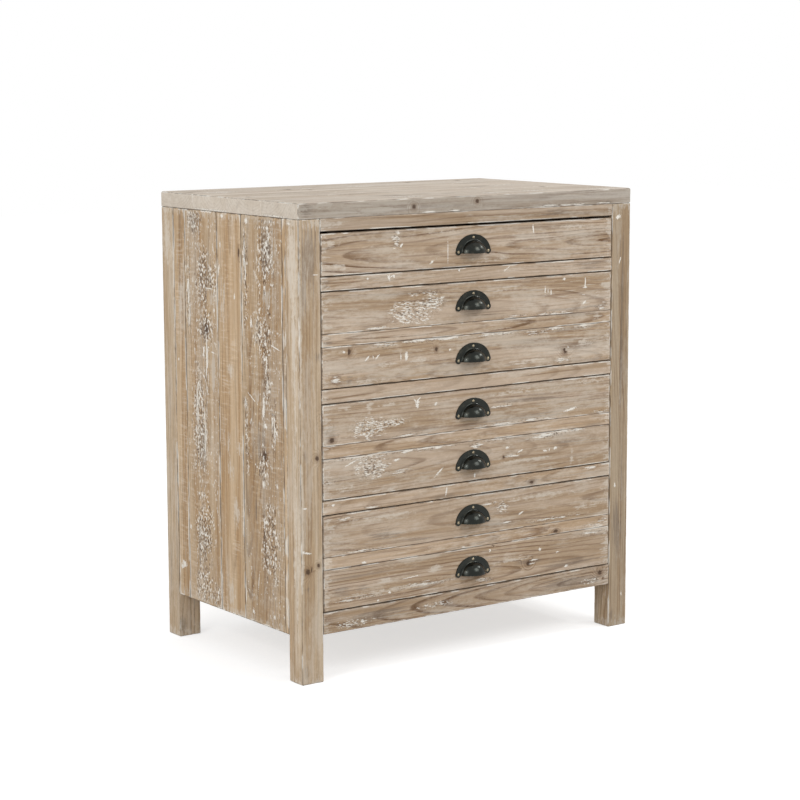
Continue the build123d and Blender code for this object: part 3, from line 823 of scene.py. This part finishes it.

# ---------- posts
# seed, tone, wash and the painted light and shade of single faces
POST_LOOKS = {
    "front_left_post": (21, 1.0, 0.3, {FRONT: 0.96, LEFT: 1.07}),
    "front_right_post": (22, 0.94, -1.0, {FRONT: 0.81, LEFT: 1.14}),
    # painted light: the rear posts' shaded front faces made paler
    "rear_left_post": (23, 1.02, 0.5, {FRONT: 1.2, LEFT: 1.03}),
    "rear_right_post": (24, 0.98, 0.0, {FRONT: 1.15, LEFT: 1.12}),
}
for name, (seed, tone, wash, face_painted_shading) in POST_LOOKS.items():
    post = Board(*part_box(name), Z, FRONT, seed, tone, wash, round_edge=0.0024, wear=0.4,
                 face_painted_shading=face_painted_shading)
    board_object(f"{name}_worn", [post], PINE_POST, "carcass", [name])

# ---------- rails
# seed, tone, wash, ring strength, pith and the sides that meet a neighbour closely
RAIL_LOOKS = {
    "top_front_rail": (31, 0.86, -0.6, 1.0, None, ((Z, 1),)),
    "middle_rail_1": (32, 0.97, -0.2, 0.6, None, ()),
    "middle_rail_2": (33, 1.0, -0.3, 0.5, None, ()),
    "middle_rail_3": (34, 1.05, -0.2, 0.6, None, ()),
    "bottom_front_rail": (35, 0.92, -0.1, 2.6, (-2, 26, -0.075), ()),
}
for name, (seed, tone, wash, rings, pith, joined) in RAIL_LOOKS.items():
    low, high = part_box(name)
    low.x += RAIL_TENON
    high.x -= RAIL_TENON
    rail = Board(low, high, X, FRONT, seed, tone, wash, pith, joined=joined, rings=rings)
    board_object(f"{name}_worn", [rail], PINE_FRONT, "carcass", [name])

# ---------- side and back boards
# tone and wash of each side board, from the front
SIDE_LOOKS = ((1.03, -0.2), (0.88, 0.2), (1.02, -0.5), (0.95, 0.6), (1.01, -0.6))
for side, face, seed in (("left", LEFT, 41), ("right", RIGHT, 61)):
    low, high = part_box(f"{side}_side_boards")
    edges = [low.y + SIDE_TONGUE]
    for width in SIDE_BOARDS:
        edges.append(edges[-1] + width)
    edges.append(high.y - SIDE_TONGUE)
    boards = [
        Board((low.x, start, low.z), (high.x, end, high.z), Z, face, seed + index,
              *SIDE_LOOKS[index], seam=1.8)
        for index, (start, end) in enumerate(zip(edges, edges[1:]))
    ]
    board_object(f"{side}_side", boards, PINE_SIDE, "carcass", [f"{side}_side_boards"])

low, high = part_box("back_boards")
low.x += BACK_REBATE
high.x -= BACK_REBATE
width = (high.x - low.x) / BACK_BOARD_COUNT
boards = [
    Board((low.x + index * width, low.y, low.z), (low.x + (index + 1) * width, high.y, high.z),
          Z, BACK, 81 + index, tone=0.95 + 0.02 * (index % 3), wash=-0.5)
    for index in range(BACK_BOARD_COUNT)
]
board_object("back", boards, PINE_SIDE, "carcass", ["back_boards"])

# ---------- drawer fronts
# seed, tone, wash, ring strength and, where the photograph shows arched grain, the pith
FRONT_LOOKS = {
    "drawer_1_front": (101, 0.97, 0.0, 1.5, (-4, 24, -0.06)),
    "drawer_2_upper_front": (102, 0.97, 0.1, 0.8, None),
    "drawer_2_front_batten": (103, 1.01, -0.2, 1.3, (2, 10, 0.05)),
    "drawer_2_lower_front": (104, 1.0, 0.4, 0.8, None),
    "drawer_3_upper_front": (105, 0.97, 0.3, 0.8, None),
    "drawer_3_front_batten": (106, 1.09, -0.3, 1.2, (0, 12, -0.05)),
    "drawer_3_lower_front": (107, 0.96, 0.1, 0.9, None),
    "drawer_4_upper_front": (108, 0.98, -0.1, 1.0, None),
    "drawer_4_front_batten": (109, 1.14, 0.0, 1.0, (0, 9, 0.04)),
    "drawer_4_lower_front": (110, 0.99, -0.5, 1.2, (-20, 16, 0.06)),
}
for name, (seed, tone, wash, rings, pith) in FRONT_LOOKS.items():
    body = name[:len("drawer_1")]
    low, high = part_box(name)
    lap = Board(low, (high.x, low.y + FRONT_LAP, high.z), X, FRONT, seed, tone, wash, pith,
                rings=rings)
    core_low = (low.x + BOX_SIDE, low.y + FRONT_LAP, low.z)
    core_high = (high.x - BOX_SIDE, high.y, high.z)
    core = Board(core_low, core_high, X, FRONT, seed, tone, wash, pith, step=HIDDEN_GRID,
                 rings=rings)
    board_object(f"{name}_worn", [lap, core], PINE_FRONT, body, [name])

# ---------- pieces that keep their CAD form
for name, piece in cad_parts.items():
    if name.startswith("cup_pull"):
        material = PULL_METAL
    elif name.endswith("pull_screws"):
        material = SCREW_METAL
    elif "runner" in name or name == "kickers" or name.endswith(("left_side", "right_side")):
        material = PINE_INNER[Y]
    elif name == "rear_rails" or name.endswith(("_back", "_bottom")):
        material = PINE_INNER[X]
    else:
        continue
    piece.data.materials.clear()
    piece.data.materials.append(material)

# ---------- floor and light
FLOOR_HALF = 12.0
FLOOR_GREY = 0.62           # what it gives back of the light
FLOOR_GLOW = 0.62           # what it adds where it is looked at, so that it comes out white
AMBIENT = 0.62              # light from all round; the background itself is white


def looked_at(t, *kinds):
    """1 for rays of these kinds, 0 for light that falls on the object."""
    path = t.node("LightPath")
    total = 0.0
    for kind in kinds:
        total = t.add(total, path.outputs[f"Is {kind} Ray"], clamp=True)
    return total


floor_mesh = bpy.data.meshes.new("floor")
corners = [(x * FLOOR_HALF, y * FLOOR_HALF, 0) for x, y in ((-1, -1), (1, -1), (1, 1), (-1, 1))]
floor_mesh.from_pydata(corners, [], [(0, 1, 2, 3)])
floor = bpy.data.objects.new("floor", floor_mesh)
bpy.context.scene.collection.objects.link(floor)
t = Tree(bpy.data.materials.new("studio_floor"))
seen = looked_at(t, "Camera", "Glossy", "Transmission")
diffuse = t.node("BsdfDiffuse", {"Color": (FLOOR_GREY, FLOOR_GREY, FLOOR_GREY, 1)}).outputs[0]
glow = t.node("Emission", {"Color": WHITE, "Strength": t.mul(seen, FLOOR_GLOW)}).outputs[0]
floor_mesh.materials.append(t.finish(t.node("AddShader", {0: diffuse, 1: glow}).outputs[0]))

world = bpy.data.worlds.new("studio")
bpy.context.scene.world = world
t = Tree(world)
seen = looked_at(t, "Camera", "Glossy")
level = t.node("MapRange", {"Value": seen, "To Min": AMBIENT, "To Max": 1.0})
background = t.node("Background", {"Color": WHITE, "Strength": level.outputs["Result"]})
t.node("OutputWorld", {"Surface": background.outputs[0]})


def softbox(name, place, aim, width, watts):
    """A large soft lamp that looks at a point."""
    lamp = bpy.data.lights.new(name, "AREA")
    lamp.shape = "SQUARE"
    lamp.size = width
    lamp.energy = watts
    lamp_object = bpy.data.objects.new(name, lamp)
    lamp_object.location = place
    lamp_object.rotation_mode = "QUATERNION"
    lamp_object.rotation_quaternion = (Vector(aim) - Vector(place)).to_track_quat("-Z", "Y")
    bpy.context.scene.collection.objects.link(lamp_object)


CABINET_MIDDLE, UPPER_FRONT = (0, 0, 0.45), (0, -0.25, 0.5)
softbox("key", (1.6, -3.4, 3.2), CABINET_MIDDLE, 1.8, 60)
softbox("fill", (-3.6, -1.4, 1.9), CABINET_MIDDLE, 2.2, 48)
softbox("glint_right", (2.4, -0.9, 2.3), UPPER_FRONT, 0.36, 14)
softbox("glint_left", (-2.4, -1.1, 1.7), UPPER_FRONT, 0.22, 5)

# ---------- camera
# solved from the photograph's straight edges; angles in degrees, lens and sensor in mm
CAMERA_AZIMUTH, CAMERA_ELEVATION, CAMERA_ROLL = -35.560, 8.549, 0.207
CAMERA_DISTANCE = 4.559
CAMERA_OFF_RIGHT, CAMERA_OFF_UP = 0.00375, 0.02406      # the camera itself is moved, not its lens
CAMERA_AIM = Vector((0.0, 0.011, 0.45))
CAMERA_LENS, CAMERA_SENSOR = 101.14, 36.0
CAMERA_REACH = 100.0

azimuth, elevation = math.radians(CAMERA_AZIMUTH), math.radians(CAMERA_ELEVATION)
back = Vector((math.sin(azimuth) * math.cos(elevation), -math.cos(azimuth) * math.cos(elevation),
               math.sin(elevation)))
right = (-back).cross(Vector((0, 0, 1))).normalized()
up = right.cross(-back)
turn = Matrix.Rotation(math.radians(CAMERA_ROLL), 3, -back)
right, up = turn @ right, turn @ up
place = CAMERA_AIM + back * CAMERA_DISTANCE + right * CAMERA_OFF_RIGHT + up * CAMERA_OFF_UP
camera = bpy.data.objects.new("camera", bpy.data.cameras.new("camera"))
camera.data.sensor_width = CAMERA_SENSOR
camera.data.lens = CAMERA_LENS
camera.data.clip_end = CAMERA_REACH
camera.matrix_world = Matrix.Translation(place) @ Matrix((right, up, back)).transposed().to_4x4()
bpy.context.scene.collection.objects.link(camera)
bpy.context.scene.camera = camera

bpy.context.scene.view_settings.view_transform = "Standard"
